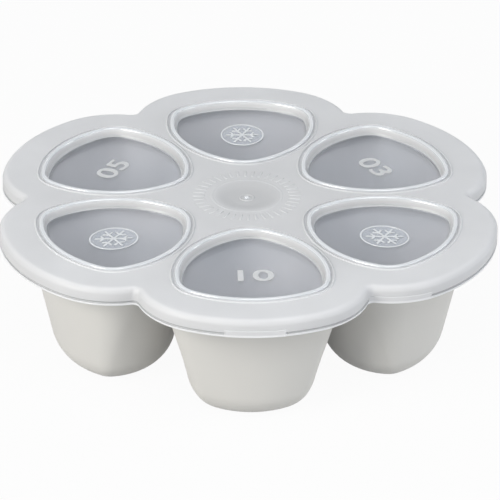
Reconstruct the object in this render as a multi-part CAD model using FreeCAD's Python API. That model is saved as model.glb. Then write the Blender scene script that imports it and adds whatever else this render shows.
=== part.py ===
import FreeCAD, Part
import math
import os
from collections import namedtuple

# Six-portion silicone freezer tray with a push-on lid. Millimetres, +Z up.
# The origin is the middle of the tray's footprint, on the plane that the six
# cup feet stand on. Lobe 1 points along -Y and the others follow
# anticlockwise, seen from above. "Reach" is always a distance from the
# middle, measured along the axis of a lobe.

# --- driving dimensions ---------------------------------------------------

LOBES = 6
FIRST_LOBE_DEG = -90.0

# Outline of the lid: six lobes of two tangent radii, with filleted notches.
lid_reach = 120.0
crown_radius = 74.0
crown_half_angle = 24.2
shoulder_radius = 37.0
notch_radius = 3.0

# Heights, measured up from the feet.
lid_top = 65.0
collar_bottom = 56.0

# Lid moulding.
lid_thickness = 1.4
skirt_thickness = 1.6
skirt_depth = 8.4
lid_edge_radius = 3.0
groove_height = 1.2
groove_depth = 0.6
groove_above_hem = 1.5
dish_radius = 16.0
dish_depth = 0.6
gate_ring_radius = 3.0
gate_ring_height = 0.25
gate_pip_radius = 0.7
rim_zone_width = 28.0

# Windows: clear trays sunk in the lid, one over each cup.
window_floor_drop = 3.6
window_wall = 1.4
window_wall_flare = 1.5
shoulder_width = 4.5
shoulder_height = 0.35
shoulder_round = 0.3
lip_width = 1.2
lip_height = 1.0
lip_outer_round = 0.35
lip_inner_round = 0.7
plug_round = 0.9

# Silicone tray.
lid_gap = 0.3
web_thickness = 3.0
rim_depth = 5.7
rim_width = 4.0
rim_round = 1.6
cup_wall = 2.2
cup_gap = 2.2
cup_to_edge = 13.6
foot_radius = 17.2
foot_pivot_in = 21.5
foot_half_width = 28.1
foot_steps = 7

# A rounded triangle, symmetrical about the lobe's axis, its apex towards the
# middle of the tray: an apex arc, two bulging sides, two corners and an outer
# arc, each tangent to the next. The clearances are distances from the boundary
# between two lobes. They place the apex, the sides and the corners, and the
# side's is the smallest of them.
Outline = namedtuple("Outline", "apex_reach outer_reach corner_radius outer_radius"
                                " apex_clear side_clear corner_clear")

cup_mouth = Outline(apex_reach=32.0, outer_reach=lid_reach - cup_to_edge,
                    corner_radius=19.0, outer_radius=60.0,
                    apex_clear=2.0, side_clear=cup_gap / 2, corner_clear=3.6)

# What is added to each measure of the mouth for the floor of the window, and for
# the line where the drafted cup wall would meet the foot plane, if it weren't
# rounded.
window_change = Outline(apex_reach=4.8, outer_reach=-7.8,
                        corner_radius=-7.4, outer_radius=-9.8,
                        apex_clear=9.0, side_clear=4.7, corner_clear=9.0)
foot_change = Outline(apex_reach=14.0, outer_reach=-11.4,
                      corner_radius=-10.8, outer_radius=-20.7,
                      apex_clear=13.7, side_clear=9.0, corner_clear=16.8)

# Stretches of the skirt that have no groove: (middle of it, its width).
plain_stretches = ((-90.0, 26.0), (-53.5, 26.0))

# --- worked out from them -------------------------------------------------

LOBE_STEP_DEG = 360.0 / LOBES
HALF_STEP = math.radians(LOBE_STEP_DEG / 2)
UP = FreeCAD.Vector(0, 0, 1)
ORIGIN = FreeCAD.Vector(0, 0, 0)
OVERSHOOT = 1.0      # how far a cutter runs past what it cuts
FLAT = 1e-4          # an edge in a plane strays no further than this

lid_underside = lid_top - lid_thickness
skirt_hem = lid_top - skirt_depth
tray_top = lid_underside - lid_gap
web_bottom = tray_top - web_thickness
rim_bottom = tray_top - rim_depth
tray_inset = skirt_thickness + lid_gap
split_radius = lid_reach - rim_zone_width
window_floor_top = lid_top - window_floor_drop
window_floor_bottom = window_floor_top - lid_thickness
shoulder_top = lid_top + shoulder_height
lip_top = lid_top + lip_height


def changed(outline, change):
    return Outline(*[a + b for a, b in zip(outline, change)])


window_floor = changed(cup_mouth, window_change)
cup_foot = changed(cup_mouth, foot_change)
foot_pivot = cup_foot.outer_reach - foot_pivot_in


def point(centre, radius, angle, z):
    return FreeCAD.Vector(centre[0] + radius * math.cos(angle),
                          centre[1] + radius * math.sin(angle), z)


def arc(centre, radius, start, end, z):
    """Arc from angle start to angle end, in radians, in the plane at z."""
    ends = [point(centre, radius, a, z) for a in (start, (start + end) / 2, end)]
    return Part.Arc(*ends).toShape()


def heading(a, b):
    return math.atan2(b[1] - a[1], b[0] - a[0])


def turned(shape, angle_deg):
    copy = shape.copy()
    copy.rotate(ORIGIN, UP, angle_deg)
    return copy


def lobe_angle(index):
    return FIRST_LOBE_DEG + index * LOBE_STEP_DEG


def prism(wire, height):
    return Part.Face(wire).extrude(UP * height)


def fused(shapes):
    return shapes[0].fuse(shapes[1:]).removeSplitter()


def edges_at(solid, z):
    """Edges that lie wholly in the plane at z."""
    return [e for e in solid.Edges
            if abs(e.BoundBox.ZMin - z) < FLAT and abs(e.BoundBox.ZMax - z) < FLAT]


# --- the flower outline ---------------------------------------------------

def flower_wire(inset, z):
    """The lid's outline moved inwards by inset: every arc keeps its centre."""
    crown = (lid_reach - crown_radius, 0.0)
    half = math.radians(crown_half_angle)
    spread = crown_radius - shoulder_radius
    shoulder = (crown[0] + spread * math.cos(half), spread * math.sin(half))
    along = shoulder[0] * math.cos(HALF_STEP) + shoulder[1] * math.sin(HALF_STEP)
    aside = shoulder[0] * math.sin(HALF_STEP) - shoulder[1] * math.cos(HALF_STEP)
    notch_reach = along + math.sqrt((shoulder_radius + notch_radius) ** 2 - aside ** 2)
    notch = (notch_reach * math.cos(HALF_STEP), notch_reach * math.sin(HALF_STEP))
    last = heading(shoulder, notch)
    back = last + math.pi
    full = 2 * math.pi
    lobe = [
        arc((shoulder[0], -shoulder[1]), shoulder_radius - inset, -last, -half, z),
        arc(crown, crown_radius - inset, -half, half, z),
        arc(shoulder, shoulder_radius - inset, half, last, z),
        arc(notch, notch_radius + inset, back, 2 * HALF_STEP + full - back, z),
    ]
    edges = []
    for index in range(LOBES):
        edges += [turned(edge, lobe_angle(index)) for edge in lobe]
    return Part.Wire(edges)


# --- rounded triangles ----------------------------------------------------

# The arcs of one outline, each as (centre x, centre y, radius), in the frame of
# a lobe that points along +X. The side and the corner also have mirror images.
Arcs = namedtuple("Arcs", "apex side corner outer")


def arcs_of(outline):
    sine, cosine = math.sin(HALF_STEP), math.cos(HALF_STEP)
    apex_radius = (outline.apex_reach * sine - outline.apex_clear) / (1 - sine)
    apex_x = outline.apex_reach + apex_radius
    outer_x = outline.outer_reach - outline.outer_radius
    swing = outline.outer_radius - outline.corner_radius
    corner_off = outline.corner_radius + outline.corner_clear
    turn = HALF_STEP - math.asin((corner_off - outer_x * sine) / swing)
    corner_x, corner_y = outer_x + swing * math.cos(turn), swing * math.sin(turn)

    # Along the boundary, the side's centre lies between those of the apex and
    # the corner; both of them touch the side's arc from inside.
    span = corner_x * cosine + corner_y * sine - apex_x * cosine
    at_apex = 2 * (outline.apex_clear - outline.side_clear)
    at_corner = 2 * (outline.corner_clear - outline.side_clear)
    apex_term = at_apex * (apex_radius + at_apex / 4)
    corner_term = at_corner * (outline.corner_radius + at_corner / 4)
    share = at_apex / at_corner
    known = span ** 2 + apex_term - share * corner_term
    to_corner = known / (span + math.sqrt(span ** 2 - (1 - share) * known))
    side_radius = (to_corner ** 2 + corner_term) / at_corner
    side_along = corner_x * cosine + corner_y * sine - to_corner
    side_off = side_radius + outline.side_clear
    side_x = side_along * cosine + side_off * sine
    side_y = side_along * sine - side_off * cosine
    return Arcs((apex_x, 0.0, apex_radius), (side_x, side_y, side_radius),
                (corner_x, corner_y, outline.corner_radius),
                (outer_x, 0.0, outline.outer_radius))


def inset(arcs, distance):
    """The parallel outline, distance further in (negative: further out)."""
    return Arcs(*[(x, y, radius - distance) for x, y, radius in arcs])


def blended(a, b, share):
    return Outline(*[u + (v - u) * share for u, v in zip(a, b)])


def shrunk(arcs, pivot, factor):
    """The outline scaled about a point on the lobe's axis."""
    return Arcs(*[(pivot + (x - pivot) * factor, y * factor, radius * factor)
                  for x, y, radius in arcs])


def arcs_wire(arcs, z):
    """The six tangent arcs as a closed wire, for a lobe that points along +X."""
    apex, side, corner, outer = arcs
    to_corner = heading(outer, corner)
    to_side = heading(side, corner)
    to_apex = heading(side, apex)
    full = 2 * math.pi
    return Part.Wire([
        arc(outer, outer[2], -to_corner, to_corner, z),
        arc(corner, corner[2], to_corner, to_side, z),
        arc(side, side[2], to_side, to_apex, z),
        arc(apex, apex[2], to_apex, full - to_apex, z),
        arc((side[0], -side[1]), side[2], full - to_apex, full - to_side, z),
        arc((corner[0], -corner[1]), corner[2], full - to_side, full - to_corner, z),
    ])


mouth_arcs = arcs_of(cup_mouth)
window_arcs = arcs_of(window_floor)


# --- one cup --------------------------------------------------------------

def wall_arcs(z, skin):
    """The cup wall's outline at height z, skin in from its outside."""
    share = (collar_bottom - z) / collar_bottom
    return inset(arcs_of(blended(cup_mouth, cup_foot, share)), skin)


def cup_body(skin, top):
    """Solid inside the surface that lies skin in from the cup's outside."""
    lean = math.atan((cup_mouth.outer_reach - cup_foot.outer_reach) / collar_bottom)
    radius = foot_radius - skin
    heel = foot_radius - radius * math.sin(lean)
    mouth = inset(mouth_arcs, skin)
    heel_arcs = wall_arcs(heel, skin)
    wall = Part.makeLoft([arcs_wire(mouth, top), arcs_wire(mouth, collar_bottom),
                          arcs_wire(heel_arcs, heel)], True, True)
    rounding = []
    for step in range(foot_steps + 1):
        angle = lean + (math.pi / 2 - lean) * step / foot_steps
        inwards = radius * (math.cos(lean) - math.cos(angle))
        section = shrunk(heel_arcs, foot_pivot, 1 - inwards / foot_half_width)
        rounding.append(arcs_wire(section, foot_radius - radius * math.sin(angle)))
    foot = Part.makeLoft(rounding, True, False)
    return wall.fuse(foot)


def make_cup():
    return cup_body(0.0, tray_top).cut(cup_body(cup_wall, tray_top + OVERSHOOT))


def mouth_cutter(bottom, top):
    """The space that a cup's collar takes, between two heights."""
    return prism(arcs_wire(mouth_arcs, bottom), top - bottom)


# --- the tray's flange ----------------------------------------------------

def split_disc(bottom, top):
    """The round middle zone, where web meets rim and deck meets lid rim."""
    return Part.makeCylinder(split_radius, top - bottom,
                             FreeCAD.Vector(0, 0, bottom))


def all_mouths():
    cutter = mouth_cutter(rim_bottom - OVERSHOOT, tray_top + OVERSHOOT)
    return [turned(cutter, lobe_angle(i)) for i in range(LOBES)]


def make_web():
    return split_disc(web_bottom, tray_top).cut(all_mouths())


def make_tray_rim():
    flange = prism(flower_wire(tray_inset, rim_bottom), rim_depth)
    round_edges = edges_at(flange, tray_top) + edges_at(flange, rim_bottom)
    flange = flange.makeFillet(rim_round, round_edges)
    under = prism(flower_wire(tray_inset + rim_width, rim_bottom - OVERSHOOT),
                  web_bottom - rim_bottom + OVERSHOOT)
    return flange.cut([under, split_disc(web_bottom - OVERSHOOT,
                                         tray_top + OVERSHOOT)] + all_mouths())


# --- the lid --------------------------------------------------------------

def all_window_cutters():
    outer = arcs_wire(inset(window_arcs, -shoulder_width), lid_underside - OVERSHOOT)
    cutter = prism(outer, lid_thickness + 2 * OVERSHOOT)
    return [turned(cutter, lobe_angle(i)) for i in range(LOBES)]


def plain_block(middle_deg, width):
    """A block that keeps the groove cutter off one stretch of the skirt."""
    block = Part.makeBox(lid_reach, width, groove_height + 2 * OVERSHOOT,
                         FreeCAD.Vector(lid_reach / 2, -width / 2,
                                        skirt_hem + groove_above_hem - OVERSHOOT))
    return turned(block, middle_deg)


def groove_cutter():
    bottom = skirt_hem + groove_above_hem
    outside = prism(flower_wire(-OVERSHOOT, bottom), groove_height)
    ring = outside.cut(prism(flower_wire(groove_depth, bottom), groove_height))
    return ring.cut([plain_block(*stretch) for stretch in plain_stretches])


def make_lid_rim():
    shell = prism(flower_wire(0.0, skirt_hem), skirt_depth)
    shell = shell.makeFillet(lid_edge_radius, edges_at(shell, lid_top))
    hollow = prism(flower_wire(skirt_thickness, skirt_hem - OVERSHOOT),
                   skirt_depth - lid_thickness + OVERSHOOT)
    hollow = hollow.makeFillet(lid_edge_radius - skirt_thickness,
                               edges_at(hollow, lid_underside))
    middle = split_disc(lid_underside - OVERSHOOT, lid_top + OVERSHOOT)
    return shell.cut([hollow, middle, groove_cutter()] + all_window_cutters())


def dish_cutter():
    """A spherical cap, dish_depth deep and dish_radius wide at the lid's top."""
    sphere_radius = (dish_radius ** 2 + dish_depth ** 2) / (2 * dish_depth)
    return Part.makeSphere(sphere_radius,
                           FreeCAD.Vector(0, 0, lid_top - dish_depth + sphere_radius))


def make_lid_deck():
    deck = split_disc(lid_underside, lid_top)
    deck = deck.cut([dish_cutter()] + all_window_cutters())
    base = FreeCAD.Vector(0, 0, lid_underside)
    ring_top = lid_top - dish_depth + gate_ring_height
    ring = Part.makeCylinder(gate_ring_radius, ring_top - lid_underside, base)
    pip = Part.makeSphere(gate_pip_radius, FreeCAD.Vector(0, 0, ring_top))
    return fused([deck, ring, pip])


def rounded_prism(arcs, bottom, top, rounded_z, radius):
    """A prism on the outline, with the edges at one of its ends rounded."""
    block = prism(arcs_wire(arcs, bottom), top - bottom)
    return block.makeFillet(radius, edges_at(block, rounded_z))


def make_window():
    mouth = inset(window_arcs, -window_wall_flare)
    shoulder = rounded_prism(inset(window_arcs, -shoulder_width), lid_underside,
                             shoulder_top, shoulder_top, shoulder_round)
    lip = rounded_prism(inset(mouth, -lip_width), lid_underside,
                        lip_top, lip_top, lip_outer_round)
    plug = rounded_prism(inset(window_arcs, -window_wall), window_floor_bottom,
                         lid_underside, window_floor_bottom, plug_round)
    recess = Part.makeLoft([arcs_wire(window_arcs, window_floor_top),
                            arcs_wire(mouth, lip_top)], True, True)
    window = fused([shoulder, lip, plug]).cut(recess)
    inner_edges = [e for e in edges_at(window, lip_top)
                   if within(e, mouth, lip_width / 2)]
    return window.makeFillet(lip_inner_round, inner_edges)


def within(edge, arcs, margin):
    """Whether an edge, of a lobe along +X, lies on the outline or inside it."""
    box = edge.BoundBox
    return (box.XMin > arcs.apex[0] - arcs.apex[2] - margin
            and box.XMax < arcs.outer[0] + arcs.outer[2] + margin)


# --- write the parts ------------------------------------------------------

def write(name, shape):
    solids = shape.Solids
    if not shape.isValid() or not solids:
        raise RuntimeError(name + " is not a valid solid")
    print(name, len(solids), round(shape.Volume))
    Part.Compound(solids).exportStep(os.path.join("parts", name + ".step"))


def main():
    os.makedirs("parts", exist_ok=True)
    write("tray_web", make_web())
    write("tray_rim", make_tray_rim())
    write("lid_deck", make_lid_deck())
    write("lid_rim", make_lid_rim())
    cup = make_cup()
    window = make_window()
    for index in range(LOBES):
        write("portion_cup_%d" % (index + 1), turned(cup, lobe_angle(index)))
        write("lid_window_%d" % (index + 1), turned(window, lobe_angle(index)))


main()
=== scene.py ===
import math
from collections import namedtuple

import bmesh
import bpy
import numpy as np
from mathutils import Matrix, Vector


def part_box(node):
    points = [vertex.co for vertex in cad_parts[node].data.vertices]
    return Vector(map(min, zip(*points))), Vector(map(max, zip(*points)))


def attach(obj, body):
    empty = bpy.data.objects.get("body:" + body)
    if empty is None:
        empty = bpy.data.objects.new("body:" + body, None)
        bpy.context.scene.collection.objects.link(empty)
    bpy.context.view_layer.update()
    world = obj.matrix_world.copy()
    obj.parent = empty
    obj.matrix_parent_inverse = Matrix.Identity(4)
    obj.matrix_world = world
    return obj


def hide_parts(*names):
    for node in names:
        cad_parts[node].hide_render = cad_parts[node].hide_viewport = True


# A silicone freezer tray of six portion cups under a frosted lid with six clear
# windows. Shapes are worked out in millimetres in the frame's own axes, and
# become metres where a mesh is made.

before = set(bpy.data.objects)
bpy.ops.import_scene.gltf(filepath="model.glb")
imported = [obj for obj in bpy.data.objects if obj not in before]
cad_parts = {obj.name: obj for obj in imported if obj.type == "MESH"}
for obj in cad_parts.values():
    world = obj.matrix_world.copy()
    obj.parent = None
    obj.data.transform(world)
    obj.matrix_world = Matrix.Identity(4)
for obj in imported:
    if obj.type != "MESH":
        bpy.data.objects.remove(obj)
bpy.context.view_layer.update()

MM = 0.001

# --- sizes ----------------------------------------------------------------


def extent_mm(node, axis):
    """A node's lowest and highest coordinate along an axis."""
    low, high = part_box(node)
    return low[axis] / MM, high[axis] / MM


LOBES = 6
FIRST_LOBE = math.radians(-90.0)
LOBE_STEP = 2 * math.pi / LOBES

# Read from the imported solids.
skirt_hem, lid_top = extent_mm("lid_rim", 2)
lid_underside = extent_mm("lid_deck", 2)[0]
window_bottom, lip_top = extent_mm("lid_window_1", 2)
rim_bottom, tray_top = extent_mm("tray_rim", 2)
web_bottom = extent_mm("tray_web", 2)[0]

# The flower: two tangent radii a lobe, and filleted notches.
lid_reach = 120.0
crown_radius = 74.0
crown_half_angle = math.radians(24.2)
shoulder_radius = 37.0
notch_radius = 3.0

# A flat face is closed this far beyond the rounding at its edge.
support = 0.4

lid_thickness = lid_top - lid_underside
skirt_thickness = 1.6
lid_edge_radius = 3.0
lid_edge_segments = 12
ceiling_support = 3.0
hem_round = 0.45
groove_height = 1.2
groove_depth = 0.7
groove_above_hem = 1.1
groove_draft = 0.1
groove_round = 0.12
groove_segments = 3

# The skirt's plain stretches, as (angle of the middle, width), and how they stand
# proud of the skirt as low tabs.
plain_stretches = ((math.radians(-90.0), 26.0), (math.radians(-53.5), 26.0))
tab_height = 3.4
tab_proud = 0.3
tab_round = 0.2
tab_steps = 4

dish_radius = 15.6
dish_depth = 1.1
dish_slope = 9.0
dish_margin = 0.3
dish_steps = 30
dish_rim_width = 1.2
dish_rim_height = 0.12
gate_ring_radius = 3.1
gate_ring_width = 0.9
gate_ring_height = 0.25
gate_pip_radius = 1.1
gate_pip_height = 0.8
gate_pip_end = math.radians(80)
gate_pip_steps = 9
circle_steps = 96
half_round_steps = 9

window_wall = 1.4
window_wall_flare = 1.5
window_floor_round = 2.2
window_floor_inset = 2.5
window_segments = 12
foot_height = 1.6
pane_rise = 0.55
shoulder_width = 5.2
shoulder_height = 0.5
shoulder_round = 0.22
shoulder_segments = 4
lip_width = 1.9
lip_outer_round = 0.85
lip_inner_round = 1.1
lip_depth = 1.5
lip_groove_width = 1.2
lip_groove_depth = 0.7
lip_groove_round = 0.3
plug_round = 0.9
window_joint = 0.02

lid_gap = lid_underside - tray_top
rim_width = 4.0
rim_round = 1.6
rim_inner_round = 0.6
cup_wall = 2.2
mouth_round = 0.8
cup_gap = 2.2
cup_to_edge = 13.6
collar_bottom = 56.0
foot_radius = 17.2
foot_pivot_in = 21.5
foot_half_width = 28.1
foot_ring_share = 0.96
wall_steps = 6
foot_steps = 18
crease_angle = math.radians(32)

# A rounded triangle, as an apex arc, two bulging sides, two corners and an outer
# arc. The clearances are distances from the boundary between two lobes.
Outline = namedtuple("Outline", "apex_reach outer_reach corner_radius outer_radius"
                                " apex_clear side_clear corner_clear")


def changed(outline, change):
    """The outline with an amount added to each of its values."""
    return Outline(*[a + b for a, b in zip(outline, change)])


cup_mouth = Outline(32.0, lid_reach - cup_to_edge, 19.0, 60.0, 2.0, cup_gap / 2, 3.6)
window_floor = changed(cup_mouth, (4.8, -7.8, -7.4, -9.8, 9.0, 4.7, 9.0))
cup_foot = changed(cup_mouth, (14.0, -11.4, -10.8, -20.7, 13.7, 9.0, 16.8))
foot_pivot = cup_foot.outer_reach - foot_pivot_in
window_floor_top = window_bottom + lid_thickness

# --- plane outlines -------------------------------------------------------


def arc_points(centre, radius, start, end, count):
    """Points along an arc, evenly spaced, without its last one."""
    angles = np.linspace(start, end, count, endpoint=False)
    return np.column_stack([centre[0] + radius * np.cos(angles),
                            centre[1] + radius * np.sin(angles)])


def heading(a, b):
    return math.atan2(b[1] - a[1], b[0] - a[0])


def turned(points, angle):
    """The points turned anticlockwise by angle about the middle."""
    turn = np.array([[math.cos(angle), math.sin(angle)],
                     [-math.sin(angle), math.cos(angle)]])
    return points @ turn


def lobe_angle(index):
    return FIRST_LOBE + index * LOBE_STEP


def flower_points(inset):
    """The lid's outline moved inwards by inset, which has one value or one a point."""
    crown = (lid_reach - crown_radius, 0.0)
    spread = crown_radius - shoulder_radius
    shoulder = (crown[0] + spread * math.cos(crown_half_angle),
                spread * math.sin(crown_half_angle))
    half = LOBE_STEP / 2
    along = shoulder[0] * math.cos(half) + shoulder[1] * math.sin(half)
    aside = shoulder[0] * math.sin(half) - shoulder[1] * math.cos(half)
    reach = along + math.sqrt((shoulder_radius + notch_radius) ** 2 - aside ** 2)
    notch = (reach * math.cos(half), reach * math.sin(half))
    last = heading(shoulder, notch)
    back = last + math.pi
    below = (shoulder[0], -shoulder[1])
    crown_count, shoulder_count, notch_count = 96, 36, 12
    lobe = np.vstack([
        arc_points(below, shoulder_radius, -last, -crown_half_angle, shoulder_count),
        arc_points(crown, crown_radius, -crown_half_angle, crown_half_angle, crown_count),
        arc_points(shoulder, shoulder_radius, crown_half_angle, last, shoulder_count),
        arc_points(notch, notch_radius, back, 2 * half + 2 * math.pi - back, notch_count),
    ])
    inwards = np.vstack([
        -arc_points((0, 0), 1, -last, -crown_half_angle, shoulder_count),
        -arc_points((0, 0), 1, -crown_half_angle, crown_half_angle, crown_count),
        -arc_points((0, 0), 1, crown_half_angle, last, shoulder_count),
        arc_points((0, 0), 1, back, 2 * half + 2 * math.pi - back, notch_count),
    ])
    base = np.vstack([turned(lobe, lobe_angle(i)) for i in range(LOBES)])
    normal = np.vstack([turned(inwards, lobe_angle(i)) for i in range(LOBES)])
    return base + normal * np.reshape(inset, (-1, 1))


def arcs_of(outline):
    """Its apex, side, corner and outer arcs, each as (centre x, centre y, radius)."""
    sine, cosine = math.sin(LOBE_STEP / 2), math.cos(LOBE_STEP / 2)
    apex_radius = (outline.apex_reach * sine - outline.apex_clear) / (1 - sine)
    apex_x = outline.apex_reach + apex_radius
    outer_x = outline.outer_reach - outline.outer_radius
    swing = outline.outer_radius - outline.corner_radius
    corner_off = outline.corner_radius + outline.corner_clear
    turn = LOBE_STEP / 2 - math.asin((corner_off - outer_x * sine) / swing)
    corner_x, corner_y = outer_x + swing * math.cos(turn), swing * math.sin(turn)

    # Along the boundary, the side's centre lies between those of the apex and
    # the corner; both of them touch the side's arc from inside.
    span = corner_x * cosine + corner_y * sine - apex_x * cosine
    at_apex = 2 * (outline.apex_clear - outline.side_clear)
    at_corner = 2 * (outline.corner_clear - outline.side_clear)
    apex_term = at_apex * (apex_radius + at_apex / 4)
    corner_term = at_corner * (outline.corner_radius + at_corner / 4)
    share = at_apex / at_corner
    known = span ** 2 + apex_term - share * corner_term
    to_corner = known / (span + math.sqrt(span ** 2 - (1 - share) * known))
    side_radius = (to_corner ** 2 + corner_term) / at_corner
    side_along = corner_x * cosine + corner_y * sine - to_corner
    side_off = side_radius + outline.side_clear
    side_x = side_along * cosine + side_off * sine
    side_y = side_along * sine - side_off * cosine
    return ((apex_x, 0.0, apex_radius), (side_x, side_y, side_radius),
            (corner_x, corner_y, outline.corner_radius),
            (outer_x, 0.0, outline.outer_radius))


def outline_points(outline, inset):
    """The outline moved inwards by inset, in the frame of a lobe along +X."""
    apex, side, corner, outer = arcs_of(outline)
    to_corner, to_side = heading(outer, corner), heading(side, corner)
    to_apex, full = heading(side, apex), 2 * math.pi
    outer_count, corner_count, side_count, apex_count = 40, 24, 34, 22

    def along(arc, start, end, count, flip=1):
        return arc_points((arc[0], arc[1] * flip), arc[2] - inset, start, end, count)

    return np.vstack([
        along(outer, -to_corner, to_corner, outer_count),
        along(corner, to_corner, to_side, corner_count),
        along(side, to_side, to_apex, side_count),
        along(apex, to_apex, full - to_apex, apex_count),
        along(side, full - to_apex, full - to_side, side_count, -1),
        along(corner, full - to_side, full - to_corner, corner_count, -1)])


def rounded(corners, segments=6):
    """A profile through (inset, z, radius) corners, with an arc at each inner one."""
    profile = []
    for index, (x, z, radius) in enumerate(corners):
        here = np.array([x, z])
        if radius == 0 or index in (0, len(corners) - 1):
            profile.append(here)
            continue
        before = np.array(corners[index - 1][:2]) - here
        after = np.array(corners[index + 1][:2]) - here
        before, after = before / np.linalg.norm(before), after / np.linalg.norm(after)
        half = math.acos(np.clip(before @ after, -1, 1)) / 2
        middle = (before + after) / np.linalg.norm(before + after)
        centre = here + middle * radius / math.sin(half)
        first = here + before * radius / math.tan(half) - centre
        last = here + after * radius / math.tan(half) - centre
        sweep = math.pi - 2 * half
        for share in np.linspace(0, 1, segments + 1):
            mixed = (math.sin((1 - share) * sweep) * first
                     + math.sin(share * sweep) * last) / math.sin(sweep)
            profile.append(centre + mixed)
    return profile


# --- meshes ---------------------------------------------------------------


class Skin:
    """A mesh that is put together from rings of points, in millimetres."""

    def __init__(self):
        self.mesh = bmesh.new()

    def ring(self, xy, z):
        return [self.mesh.verts.new((x * MM, y * MM, z * MM)) for x, y in xy]

    def band(self, a, b, finish=0):
        """Faces between two rings. finish is one number, or one a face."""
        count = len(a)
        finishes = np.broadcast_to(finish, count)
        for i in range(count):
            j = (i + 1) % count
            face = self.mesh.faces.new((a[i], a[j], b[j], b[i]))
            face.material_index = int(finishes[i])

    def bands(self, rings):
        for a, b in zip(rings, rings[1:]):
            self.band(a, b)

    def cover(self, *loops, finish=0):
        """Fills the flat region between an outer loop and the loops inside it."""
        edges = []
        for loop in loops:
            for i, vert in enumerate(loop):
                pair = (vert, loop[(i + 1) % len(loop)])
                edges.append(self.mesh.edges.get(pair) or self.mesh.edges.new(pair))
        filled = bmesh.ops.triangle_fill(self.mesh, use_beauty=True,
                                         use_dissolve=False, edges=edges)
        for item in filled["geom"]:
            if isinstance(item, bmesh.types.BMFace):
                item.material_index = finish

    def finish(self, name, materials, body, slot):
        """Turns the skin into a piece that rides on a body."""
        bmesh.ops.recalc_face_normals(self.mesh, faces=self.mesh.faces)
        mesh = bpy.data.meshes.new(name)
        self.mesh.to_mesh(mesh)
        self.mesh.free()
        mesh.polygons.foreach_set("use_smooth", [True] * len(mesh.polygons))
        mesh.set_sharp_from_angle(angle=crease_angle)
        for material in materials:
            mesh.materials.append(material)
        return dressed(name, mesh, body)


def dressed(name, mesh, body):
    piece = bpy.data.objects.new(name, mesh)
    bpy.context.scene.collection.objects.link(piece)
    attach(piece, body)
    return piece


# --- the silicone tray ----------------------------------------------------


def wall_points(z, skin):
    """The cup's outline at a height on its tapered wall, skin in from its outside."""
    share = (collar_bottom - z) / collar_bottom
    mixed = [a + (b - a) * share for a, b in zip(cup_mouth, cup_foot)]
    return outline_points(Outline(*mixed), skin)


def cup_sections(skin, top):
    """(points, height) of the cup's surface, skin in from its outside, top to foot."""
    lean = math.atan((cup_mouth.outer_reach - cup_foot.outer_reach) / collar_bottom)
    radius = foot_radius - skin
    heel = foot_radius - radius * math.sin(lean)
    mouth = outline_points(cup_mouth, skin)
    sections = [(mouth, top), (mouth, collar_bottom)]
    for z in np.linspace(collar_bottom, heel, wall_steps + 1)[1:]:
        sections.append((wall_points(z, skin), z))
    heel_points = sections[-1][0]
    pivot = np.array([foot_pivot, 0.0])
    for angle in np.linspace(lean, math.pi / 2, foot_steps + 1)[1:]:
        inwards = radius * (math.cos(lean) - math.cos(angle))
        factor = 1 - inwards / foot_half_width
        sections.append((pivot + (heel_points - pivot) * factor,
                         foot_radius - radius * math.sin(angle)))
    flat, z = sections[-1]
    sections.append((pivot + (flat - pivot) * foot_ring_share, z))
    return sections


def add_cup(skin, index):
    """The cup's inner and outer surfaces. Returns its edges in the flange's faces."""
    angle = lobe_angle(index)

    def surface(sections):
        rings = [skin.ring(turned(points, angle), z) for points, z in sections]
        skin.bands(rings)
        skin.cover(rings[-1])
        return rings[0]

    straight = tray_top - mouth_round - support
    lip = rounded([(cup_wall - mouth_round - support, tray_top, 0),
                   (cup_wall, tray_top, mouth_round), (cup_wall, straight, 0)])[:-1]
    inner = [(outline_points(cup_mouth, inset), z) for inset, z in lip]
    inner += cup_sections(cup_wall, straight)
    return surface(inner), surface(cup_sections(0.0, web_bottom))


def make_tray():
    skin = Skin()
    outer = skirt_thickness + lid_gap
    inner = outer + rim_width
    profile = rounded([(outer + rim_round + support, tray_top, 0),
                       (outer, tray_top, rim_round), (outer, rim_bottom, rim_round),
                       (inner, rim_bottom, rim_inner_round),
                       (inner, web_bottom, rim_inner_round),
                       (inner + rim_inner_round + support, web_bottom, 0)])
    rings = [skin.ring(flower_points(inset), z) for inset, z in profile]
    skin.bands(rings)
    cups = [add_cup(skin, i) for i in range(LOBES)]
    skin.cover(rings[0], *[inside for inside, _ in cups])
    skin.cover(rings[-1], *[outside for _, outside in cups])
    tray = skin.finish("silicone_tray", [silicone()], "tray", "silicone")
    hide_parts("tray_web", "tray_rim",
                *["portion_cup_%d" % (i + 1) for i in range(LOBES)])


# --- the frosted lid ------------------------------------------------------


def groove_share():
    """1 where the skirt has its groove, 0 along the plain stretches."""
    points = flower_points(0.0)
    share = np.ones(len(points))
    for angle, width in plain_stretches:
        along, aside = turned(points, -angle).T
        share[(along > 0) & (np.abs(aside) < width / 2)] = 0
    return share


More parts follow.
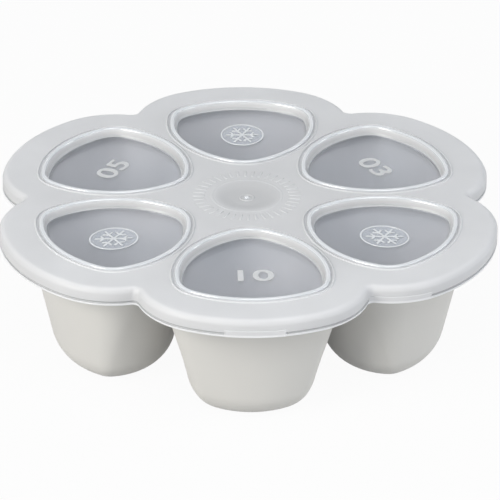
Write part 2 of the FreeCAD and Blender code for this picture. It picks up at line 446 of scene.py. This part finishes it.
def skirt_rings(skin):
    """Over the edge, down the skirt with its groove, and back up inside.

    Returns the rings, and the first and the last ring of the groove.
    """
    groove_low = skirt_hem + groove_above_hem
    groove_high = groove_low + groove_height
    grooved = groove_share()
    rings = []

    def add(corners, tab):
        """Rings at (inset, z). With a tab, the plain stretches stand proud by it."""
        for inset, z in corners:
            insets = np.where(grooved == 1, inset, -tab)
            rings.append(skin.ring(flower_points(insets if tab else inset), z))

    tab_top = skirt_hem + tab_height
    deck_edge = lid_edge_radius + support
    add(rounded([(deck_edge, lid_top, 0), (0, lid_top, lid_edge_radius),
                 (0, tab_top, 0)], lid_edge_segments)[1:], 0)
    for angle in np.linspace(0, math.pi / 2, tab_steps + 1)[1:]:
        rings.append(skin.ring(
            flower_points(-tab_proud * math.sin(angle) * (1 - grooved)),
            tab_top - tab_round * (1 - math.cos(angle))))
    add([(0, groove_high)], tab_proud)
    groove_start = len(rings)
    add(rounded([(0, groove_high, 0),
                 (groove_depth, groove_high - groove_draft, groove_round),
                 (groove_depth, groove_low + groove_draft, groove_round),
                 (0, groove_low, 0)], groove_segments)[1:], tab_proud)
    groove_end = len(rings)
    hem = rounded([(0, groove_low, 0), (0, skirt_hem, hem_round),
                   (skirt_thickness, skirt_hem, 0)])[1:-1]
    for inset, z in hem:
        proud = tab_proud * (1 - inset / hem_round)
        rings.append(skin.ring(flower_points(inset - proud * (1 - grooved)), z))
    inner = skirt_thickness
    add(rounded([(0, skirt_hem, 0), (inner, skirt_hem, hem_round),
                 (inner, lid_underside, lid_edge_radius - skirt_thickness),
                 (inner + ceiling_support, lid_underside, 0)])[1:], 0)
    rings.insert(0, skin.ring(flower_points(deck_edge), lid_top))
    return rings, groove_start, groove_end


def add_shoulder(skin, index):
    """The low step round a window. Returns its edges in the lid's two faces."""
    angle = lobe_angle(index)
    lip_edge = -(window_wall_flare + lip_width)
    foot, top = -shoulder_width, lid_top + shoulder_height
    groove_edge, groove_floor = lip_edge - lip_groove_width, top - lip_groove_depth
    profile = rounded([(foot - support, lid_top, 0), (foot, lid_top, shoulder_round),
                       (foot, top, shoulder_round), (groove_edge, top, shoulder_round),
                       (groove_edge, groove_floor, lip_groove_round),
                       (lip_edge, groove_floor, 0)], shoulder_segments)
    profile += [(lip_edge, lid_underside), (lip_edge - support, lid_underside)]
    rings = [skin.ring(turned(outline_points(window_floor, inset), angle), z)
             for inset, z in profile]
    skin.bands(rings)
    return rings[0], rings[-1]


def circle(radius):
    return arc_points((0, 0), radius, 0, 2 * math.pi, circle_steps)


def half_round(radius, width, base, height):
    """(radius, z) points over a low ring, from its outside to its inside."""
    return [(radius + width / 2 * math.cos(a), base + height * math.sin(a))
            for a in np.linspace(0, math.pi, half_round_steps)]


def add_dish(skin):
    """The shallow dish at the middle, with its rim and the gate's ring and pip."""

    def bowl(radius):
        share = min(1.0, (dish_radius - radius) / dish_slope)
        return lid_top - dish_depth * (1 - math.cos(math.pi * share)) / 2

    ring_edge = gate_ring_radius + gate_ring_width / 2
    rim = [(dish_radius + 2 * dish_rim_width, lid_top)]
    rim += half_round(dish_radius + dish_rim_width / 2, dish_rim_width, lid_top,
                      dish_rim_height)
    inside = [(r, bowl(r)) for r in np.linspace(dish_radius - dish_margin,
                                                ring_edge + dish_margin, dish_steps)]
    inside += half_round(gate_ring_radius, gate_ring_width, bowl(ring_edge),
                         gate_ring_height)
    inside.append((gate_pip_radius + support, bowl(0)))
    pip = [(gate_pip_radius * math.cos(a), bowl(0) + gate_pip_height * math.sin(a))
           for a in np.linspace(0, gate_pip_end, gate_pip_steps)]
    rings = [skin.ring(circle(radius), z) for radius, z in rim + inside + pip]
    skin.bands(rings[:-len(pip)])
    for outer, inner in zip(rings[-len(pip) - 1:], rings[-len(pip):]):
        skin.band(outer, inner, 1)
    skin.cover(rings[-1], finish=1)
    return rings[0]


def make_lid(finishes):
    """The deck and skirt. The dish's pip and the skirt's groove have finishes 1 and 2; the
    groove's finish is painted shade.
    """
    skin = Skin()
    rings, groove_start, groove_end = skirt_rings(skin)
    skin.bands(rings[:groove_start + 1])
    grooved = groove_share() == 1
    # The groove's faces, but for the plain stretches, get finish 2, a darker finish that
    # paints shade into the groove.
    for a, b in zip(rings[groove_start:groove_end], rings[groove_start + 1:]):
        skin.band(a, b, np.where(grooved & np.roll(grooved, -1), 2, 0))
    skin.bands(rings[groove_end:])
    holes = [add_shoulder(skin, i) for i in range(LOBES)]
    dish = add_dish(skin)
    skin.cover(rings[0], dish, *[top for top, _ in holes])
    skin.cover(rings[-1], *[bottom for _, bottom in holes])
    lid = skin.finish("frosted_lid", finishes, "lid", "frosted_lid")
    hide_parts("lid_deck", "lid_rim")


def make_window(index, finishes):
    """One window: a thin dish. Its lip, wall, foot and floor have a finish each."""
    skin = Skin()
    outer = -(window_wall_flare + lip_width) + window_joint
    floor = window_floor_top
    top = rounded([(outer, lid_underside, 0), (outer, lip_top, lip_outer_round),
                   (-window_wall_flare, lip_top, lip_inner_round),
                   (0, floor, window_floor_round),
                   (window_floor_inset, floor, 0)], window_segments)
    under = rounded([(outer, lid_underside, 0), (-window_wall, lid_underside, 0),
                     (-window_wall, window_bottom, plug_round),
                     (window_floor_inset, window_bottom, 0)])[1:]
    angle = lobe_angle(index)
    lip, wall, foot, pane = 0, 1, 2, 3

    def rings_of(profile):
        return [skin.ring(turned(outline_points(window_floor, inset), angle), z)
                for inset, z in profile]

    def finish_at(height):
        if height > lip_top - lip_depth:
            return lip
        if height > floor + foot_height:
            return wall
        return foot if height > floor + pane_rise else pane

    upper, lower = rings_of(top), rings_of(under)
    for i in range(len(upper) - 2):
        skin.band(upper[i], upper[i + 1], finish_at((top[i][1] + top[i + 1][1]) / 2))
    joined, heights = [upper[0]] + lower, [lid_underside] + [z for _, z in under]
    for i in range(len(joined) - 2):
        above_plug = heights[i] > window_bottom + plug_round
        skin.band(joined[i], joined[i + 1], wall if above_plug else pane)
    for edge, middle in (upper[-2:], lower[-2:]):
        skin.band(edge, middle, pane)
        skin.cover(middle, finish=pane)
    name = "window_pane_%d" % (index + 1)
    piece = skin.finish(name, finishes, "lid", "clear_window")
    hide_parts("lid_window_%d" % (index + 1))


# --- raised marks ---------------------------------------------------------

numeral_windows = (1, 3, 5)
badge_windows = (2, 4, 6)
mark_height = 0.35
mark_bevel = 0.1
mark_reach = 71.0
numeral_size = 14.0
numeral_stretch = 1.45
numeral_weight = 0.2
badge_radius = 11.5
badge_stretch = 0.9
badge_rim = 0.8
badge_height = 0.5
flake_reach = 8.8
flake_half_bar = 0.5
flake_branch_at = 4.4
flake_branch = 2.7
plate_height = 0.12
plate_bevel = 0.05
rib_count = 40
rib_start = 19.5
rib_end = 25.0
rib_width = 1.1
rib_height = 0.5
rib_bevel = 0.25


def flat_curve(name, loops):
    """Closed loops of points, as one flat curve that is filled between them."""
    curve = bpy.data.curves.new(name, "CURVE")
    curve.dimensions = "2D"
    for loop in loops:
        spline = curve.splines.new("POLY")
        spline.points.add(len(loop) - 1)
        for point, (x, y) in zip(spline.points, loop):
            point.co = (x * MM, y * MM, 0, 1)
        spline.use_cyclic_u = True
    return curve


def numeral_curve(name, text):
    curve = bpy.data.curves.new(name, "FONT")
    curve.body = text
    curve.size = numeral_size * MM
    curve.align_x, curve.align_y = "CENTER", "CENTER"
    return curve


def relief(name, curve, place, size, finish, weight=0.0, stretch=1.0):
    """Raises a flat curve on a face of the lid, where it is read outwards.

    place is (distance from the middle, angle, height of the face), and size is
    (height, bevel).
    """
    reach, angle, face = place
    height, bevel = size
    curve.fill_mode = "BOTH"
    curve.extrude = (height / 2 - bevel) * MM
    curve.bevel_depth = bevel * MM
    curve.bevel_resolution = 2
    curve.offset = (weight - bevel) * MM
    holder = bpy.data.objects.new(name + "_curve", curve)
    bpy.context.scene.collection.objects.link(holder)
    evaluated = holder.evaluated_get(bpy.context.evaluated_depsgraph_get())
    mesh = bpy.data.meshes.new_from_object(evaluated)
    bpy.data.objects.remove(holder)
    centre = (reach * math.cos(angle), reach * math.sin(angle), face + height / 2 - bevel)
    mesh.transform(Matrix.Translation(Vector(centre) * MM)
                   @ Matrix.Rotation(angle - math.pi / 2, 4, "Z")
                   @ Matrix.Diagonal((stretch, 1, 1, 1)))
    mesh.materials.clear()
    mesh.materials.append(finish)
    dressed(name, mesh, "lid")


def make_numerals(finish):
    """Plain portion numerals on three of the windows."""
    for number in numeral_windows:
        name = "numeral_%d" % number
        place = (mark_reach, lobe_angle(number - 1), window_floor_top)
        relief(name, numeral_curve(name, "%02d" % number), place,
               (mark_height, mark_bevel), finish, numeral_weight,
               numeral_stretch)


def flake_loop():
    """A six-armed frost star: straight bars with one pair of branches an arm."""
    bar = flake_half_bar
    # The branches lean outwards at 60 degrees to their arm.
    lean = np.array([0.5, math.sqrt(0.75)])
    across = np.array([lean[1], -lean[0]])
    root = np.array([flake_branch_at, bar])
    tip = root + lean * flake_branch
    corner = tip + across * 2 * bar
    back = corner - lean * (corner[1] - bar) / lean[1]
    half = [(bar / math.tan(LOBE_STEP / 2), bar), root, tip, corner, back,
            (flake_reach, bar)]
    arm = np.array(half)
    out_and_back = np.vstack([arm[1:] * (1, -1), arm[::-1]])
    return np.vstack([turned(out_and_back, i * LOBE_STEP) for i in range(LOBES)])


def make_badges(finish, plate_finish):
    """A ring round a frost star, on a low clear disc, on the other three windows."""
    for number in badge_windows:
        angle = lobe_angle(number - 1)
        name = "badge_plate_%d" % number
        relief(name, flat_curve(name, [circle(badge_radius)]),
               (mark_reach, angle, window_floor_top), (plate_height, plate_bevel),
               plate_finish, stretch=badge_stretch)
        name = "frost_badge_%d" % number
        loops = [circle(badge_radius), circle(badge_radius - badge_rim), flake_loop()]
        relief(name, flat_curve(name, loops),
               (mark_reach, angle, window_floor_top + plate_height),
               (badge_height - plate_height, mark_bevel), finish,
               stretch=badge_stretch)


def make_ribs(finish):
    """A ring of short radial ribs round the dish."""
    half = rib_width / 2
    rib = np.array([(rib_start, -half), (rib_end, -half), (rib_end, half),
                    (rib_start, half)])
    loops = [turned(rib, 2 * math.pi * i / rib_count) for i in range(rib_count)]
    relief("centre_ribs", flat_curve("centre_ribs", loops), (0.0, math.pi / 2, lid_top),
           (rib_height, rib_bevel), finish)


# --- finishes -------------------------------------------------------------

plastic_ior = 1.49
grain_detail = 3.0
cloud_detail = 2.0
cloud_ends = (0.3, 0.7)

# Where the lid's painted light and shade change: the painted light on the hem ends above it,
# the painted shade runs up the skirt, and the dish's painted shade changes inside and outside
# its edge.
hem_shade_step = 0.4
skirt_shade_height = 5.5
dish_shade_inside = 3.0
dish_shade_outside = 1.0

# What the clear plastic lets through of light that goes straight on.
straight_light = 0.925


def new_material(name, roughness, **numbers):
    """A material, its nodes and its shader. The other numbers are sockets' values."""
    material = bpy.data.materials.new(name)
    material.use_nodes = True
    tree = material.node_tree
    shader = tree.nodes["Principled BSDF"]
    shader.inputs["Roughness"].default_value = roughness
    for socket, number in numbers.items():
        shader.inputs[socket.replace("_", " ")].default_value = number
    return material, tree, shader


def combined(tree, operation, first, second):
    """A math node's output. Each of its inputs is a number or another output."""
    node = tree.nodes.new("ShaderNodeMath")
    node.operation = operation
    for socket, value in zip(node.inputs, (first, second)):
        if isinstance(value, float):
            socket.default_value = value
        else:
            tree.links.new(value, socket)
    return node.outputs[0]


def mix_in(tree, share, shader_output, other, surface_input):
    """Puts another shader in front of one, by share."""
    mix = tree.nodes.new("ShaderNodeMixShader")
    tree.links.new(share, mix.inputs[0])
    tree.links.new(shader_output, mix.inputs[1])
    tree.links.new(other.outputs[0], mix.inputs[2])
    tree.links.new(mix.outputs[0], surface_input)


def noise(tree, scale, detail):
    node = tree.nodes.new("ShaderNodeTexNoise")
    node.inputs["Scale"].default_value = scale
    node.inputs["Detail"].default_value = detail
    place = tree.nodes.new("ShaderNodeTexCoord")
    tree.links.new(place.outputs["Object"], node.inputs["Vector"])
    return node.outputs["Fac"]


def add_grain(tree, shader, scale, height_mm):
    """A fine bump over the whole surface."""
    bump = tree.nodes.new("ShaderNodeBump")
    bump.inputs["Distance"].default_value = height_mm * MM
    tree.links.new(noise(tree, scale, grain_detail), bump.inputs["Height"])
    tree.links.new(bump.outputs["Normal"], shader.inputs["Normal"])


def add_clouds(tree, shader, scale, dark, light):
    """Slow changes of colour, as a moulding shows where its melt has flowed."""
    ramp = tree.nodes.new("ShaderNodeValToRGB")
    for element, end, colour in zip(ramp.color_ramp.elements, cloud_ends, (dark, light)):
        element.position = end
        element.color = (*colour, 1)
    tree.links.new(noise(tree, scale, cloud_detail), ramp.inputs["Fac"])
    tree.links.new(ramp.outputs["Color"], shader.inputs["Base Color"])
    return ramp.outputs["Color"]


def height_of(tree):
    place = tree.nodes.new("ShaderNodeTexCoord")
    split = tree.nodes.new("ShaderNodeSeparateXYZ")
    tree.links.new(place.outputs["Object"], split.inputs["Vector"])
    return split.outputs["Z"]


def reach_of(tree):
    """The distance from the upright axis through the middle."""
    place = tree.nodes.new("ShaderNodeTexCoord")
    flat = tree.nodes.new("ShaderNodeVectorMath")
    flat.operation = "MULTIPLY"
    flat.inputs[1].default_value = (1, 1, 0)
    tree.links.new(place.outputs["Object"], flat.inputs[0])
    length = tree.nodes.new("ShaderNodeVectorMath")
    length.operation = "LENGTH"
    tree.links.new(flat.outputs["Vector"], length.inputs[0])
    return length.outputs["Value"]


def shaded(tree, colour, measure, stops):
    """Scales a colour by a share that changes along a measure, to paint light and shade:
    stops are (mm, share).
    """
    low, high = stops[0][0], stops[-1][0]
    place = tree.nodes.new("ShaderNodeMapRange")
    place.inputs["From Min"].default_value = low * MM
    place.inputs["From Max"].default_value = high * MM
    tree.links.new(measure, place.inputs["Value"])
    ramp = tree.nodes.new("ShaderNodeValToRGB")
    ramp.color_ramp.interpolation = "EASE"
    elements = ramp.color_ramp.elements
    for element, (_, share) in zip(elements, (stops[0], stops[-1])):
        element.color = (share, share, share, 1)
    for mm, share in stops[1:-1]:
        elements.new((mm - low) / (high - low)).color = (share, share, share, 1)
    tree.links.new(place.outputs["Result"], ramp.inputs["Fac"])
    scaled = tree.nodes.new("ShaderNodeVectorMath")
    scaled.operation = "MULTIPLY"
    tree.links.new(colour, scaled.inputs[0])
    tree.links.new(ramp.outputs["Color"], scaled.inputs[1])
    return scaled.outputs["Vector"]


def silicone():
    material, tree, shader = new_material("matte_silicone", roughness=0.58,
                                          Specular_IOR_Level=0.4)
    add_clouds(tree, shader, scale=14, dark=(0.638, 0.628, 0.609),
               light=(0.678, 0.668, 0.646))
    add_grain(tree, shader, scale=1800, height_mm=0.03)
    return material


def frosted(name, dark, light):
    """Frosted plastic, with light and shade painted into its colour: the hem is painted
    lighter; the skirt and the lower part of the edge's rounding are painted darker, partly as
    the darker rim shows through the skirt and partly as painted shade; the dish is painted
    darker as shade; and the lid is painted lighter towards its edge.
    """
    material, tree, shader = new_material(name, roughness=0.5, IOR=plastic_ior,
                                          Transmission_Weight=0.25)
    colour = add_clouds(tree, shader, scale=26, dark=dark, light=light)
    hem_top = skirt_hem + groove_above_hem
    # Painted light and shade by height: the hem is painted lighter, the skirt and the edge's
    # rounding darker.
    colour = shaded(tree, colour, height_of(tree),
                    [(skirt_hem, 1.11), (hem_top, 1.08),
                     (hem_top + hem_shade_step, 0.86),
                     (skirt_hem + skirt_shade_height, 0.87),
                     (lid_underside, 0.89), (lid_top, 1.0)])
    # Painted shade in the dish, and painted light towards the lid's edge, by distance from
    # the middle.
    colour = shaded(tree, colour, reach_of(tree),
                    [(0, 0.93), (dish_radius - dish_slope, 0.92),
                     (dish_radius - dish_shade_inside, 0.87),
                     (dish_radius + dish_shade_outside, 0.97),
                     (lid_reach / 2, 0.98), (lid_reach, 1.04)])
    tree.links.new(colour, shader.inputs["Base Color"])
    add_grain(tree, shader, scale=2600, height_mm=0.02)
    return material


def satin():
    """Half frosted, where a window's wall turns into its floor."""
    material, tree, shader = new_material("satin_plastic", roughness=0.3,
                                          IOR=plastic_ior, Transmission_Weight=0.55)
    add_clouds(tree, shader, scale=60, dark=(0.84, 0.86, 0.89),
               light=(0.89, 0.91, 0.93))
    add_grain(tree, shader, scale=1600, height_mm=0.01)
    return material


def polished_lip():
    material, tree, shader = new_material("polished_lip_plastic", roughness=0.12,
                                          IOR=plastic_ior, Transmission_Weight=0.3,
                                          Coat_Weight=1.0, Coat_Roughness=0.05,
                                          Coat_IOR=1.8)
    add_clouds(tree, shader, scale=30, dark=(0.87, 0.905, 0.955),
               light=(0.9, 0.935, 0.98))
    add_grain(tree, shader, scale=700, height_mm=0.004)
    return material


def clear(name, transmission, dark, light):
    """Polished plastic. Light on its way to or from a matt surface isn't bent."""
    material, tree, shader = new_material(name, roughness=0.15, IOR=plastic_ior,
                                          Transmission_Weight=transmission)
    add_clouds(tree, shader, scale=20, dark=dark, light=light)
    add_grain(tree, shader, scale=300, height_mm=0.003)
    path = tree.nodes.new("ShaderNodeLightPath").outputs
    straight = combined(tree, "MAXIMUM", path["Is Shadow Ray"], path["Is Diffuse Ray"])
    through = tree.nodes.new("ShaderNodeBsdfTransparent")
    through.inputs["Color"].default_value = (*[straight_light] * 3, 1)
    mix_in(tree, straight, shader.outputs[0], through,
           tree.nodes["Material Output"].inputs["Surface"])
    return material


# --- camera, floor and light ----------------------------------------------

image_side = 500
focal_px = 3476.1
aim_offset_px = (-3.07, 54.49)
camera_distance = 1.60737
camera_elevation = math.radians(26.929)
camera_azimuth = math.radians(-2.058)
camera_roll = math.radians(0.508)
sensor_width = 36.0

# The floor lies this far under the feet, so that the two faces stay apart.
floor_gap = 0.1
floor_half = 6.0
floor_whiteness = 0.95
lamp_target = Vector((0, 0, 0.04))


def make_camera():
    """Stands so that the middle of the lid's top falls aim_offset_px off centre."""
    target = Vector((0, 0, lid_top * MM))
    a, e, roll = camera_azimuth, camera_elevation, camera_roll
    back = Vector((math.sin(a) * math.cos(e), -math.cos(a) * math.cos(e), math.sin(e)))
    level = Vector((math.cos(a), math.sin(a), 0))
    rise = back.cross(level)
    right = level * math.cos(roll) + rise * math.sin(roll)
    up = rise * math.cos(roll) - level * math.sin(roll)
    forward = (-back * focal_px - right * aim_offset_px[0]
               - up * aim_offset_px[1]).normalized()
    right = forward.cross(up).normalized()
    up = right.cross(forward)
    data = bpy.data.cameras.new("camera")
    data.sensor_width = sensor_width
    data.lens = focal_px / image_side * sensor_width
    data.clip_start, data.clip_end = 0.1, 20.0
    camera = bpy.data.objects.new("camera", data)
    camera.matrix_world = Matrix.Translation(target + back * camera_distance) @ Matrix(
        (right, up, -forward)).transposed().to_4x4()
    bpy.context.scene.collection.objects.link(camera)
    bpy.context.scene.camera = camera


def white_to_camera(tree, shader_output, surface_input, share):
    """Mixes a white emission in, for camera, glossy and transmission rays.

    Rays that come off a matt surface don't see it, so that it lights nothing.
    """
    path = tree.nodes.new("ShaderNodeLightPath").outputs
    seen = combined(tree, "MAXIMUM", path["Is Camera Ray"], path["Is Glossy Ray"])
    seen = combined(tree, "MAXIMUM", seen, path["Is Transmission Ray"])
    direct = combined(tree, "LESS_THAN", path["Diffuse Depth"], 0.5)
    seen = combined(tree, "MULTIPLY", combined(tree, "MULTIPLY", seen, direct), share)
    mix_in(tree, seen, shader_output, tree.nodes.new("ShaderNodeEmission"), surface_input)


def make_floor():
    mesh = bpy.data.meshes.new("floor")
    half, level = floor_half, -floor_gap * MM
    mesh.from_pydata([(-half, -half, level), (half, -half, level), (half, half, level),
                      (-half, half, level)], [], [(0, 1, 2, 3)])
    material, tree, shader = new_material("floor_white", roughness=0.8,
                                          Base_Color=(0.62, 0.62, 0.62, 1))
    white_to_camera(tree, shader.outputs[0],
                    tree.nodes["Material Output"].inputs["Surface"], floor_whiteness)
    mesh.materials.append(material)
    floor = bpy.data.objects.new("floor", mesh)
    bpy.context.scene.collection.objects.link(floor)


def make_world():
    world = bpy.data.worlds.new("studio")
    bpy.context.scene.world = world
    world.use_nodes = True
    tree = world.node_tree
    light = tree.nodes["Background"]
    light.inputs["Color"].default_value = (0.88, 0.945, 1, 1)
    light.inputs["Strength"].default_value = 0.375
    white_to_camera(tree, light.outputs[0],
                    tree.nodes["World Output"].inputs["Surface"], 1.0)


def soft_lamp(name, place, size, power, colour=(1, 1, 1)):
    data = bpy.data.lights.new(name, "AREA")
    data.shape = "DISK"
    data.size = size
    data.energy = power
    data.color = colour
    lamp = bpy.data.objects.new(name, data)
    lamp.location = place
    aim = lamp_target - Vector(place)
    lamp.rotation_euler = aim.to_track_quat("-Z", "Y").to_euler()
    bpy.context.scene.collection.objects.link(lamp)


# --- the scene ------------------------------------------------------------

lid_finish = frosted("frosted_plastic", (0.82, 0.824, 0.845), (0.885, 0.889, 0.91))
# Painted shade: the skirt's groove is coloured darker where it lies in shadow.
groove_shade_finish = frosted("groove_painted_shade", (0.6, 0.61, 0.625), (0.65, 0.66, 0.675))
numeral_finish = frosted("pale_frosted_plastic", (0.93, 0.94, 0.96), (0.97, 0.98, 1.0))
lip_finish = polished_lip()
pane_finish = clear("polished_clear_plastic", 0.93, (0.722, 0.768, 0.875), (0.77, 0.8, 0.897))
plate_finish = clear("badge_plate_plastic", 0.82, (0.86, 0.89, 0.93), (0.9, 0.93, 0.97))
window_finishes = [lip_finish, lid_finish, satin(), pane_finish]
make_tray()
make_lid([lid_finish, lip_finish, groove_shade_finish])
for lobe in range(LOBES):
    make_window(lobe, window_finishes)
make_numerals(numeral_finish)
make_badges(lip_finish, plate_finish)
make_ribs(lid_finish)

make_camera()
make_floor()
make_world()
soft_lamp("low_left", (-1.3, -1.1, 0.95), size=1.1, power=26.2, colour=(1.0, 0.97, 0.91))
soft_lamp("overhead", (0.25, -0.65, 1.1), size=0.9, power=4.6)
soft_lamp("low_right", (1.35, -0.65, 0.2), size=0.8, power=6.0)
soft_lamp("back_right", (1.3, 0.3, 0.35), size=0.5, power=2.0)
bpy.context.scene.view_settings.view_transform = "Standard"
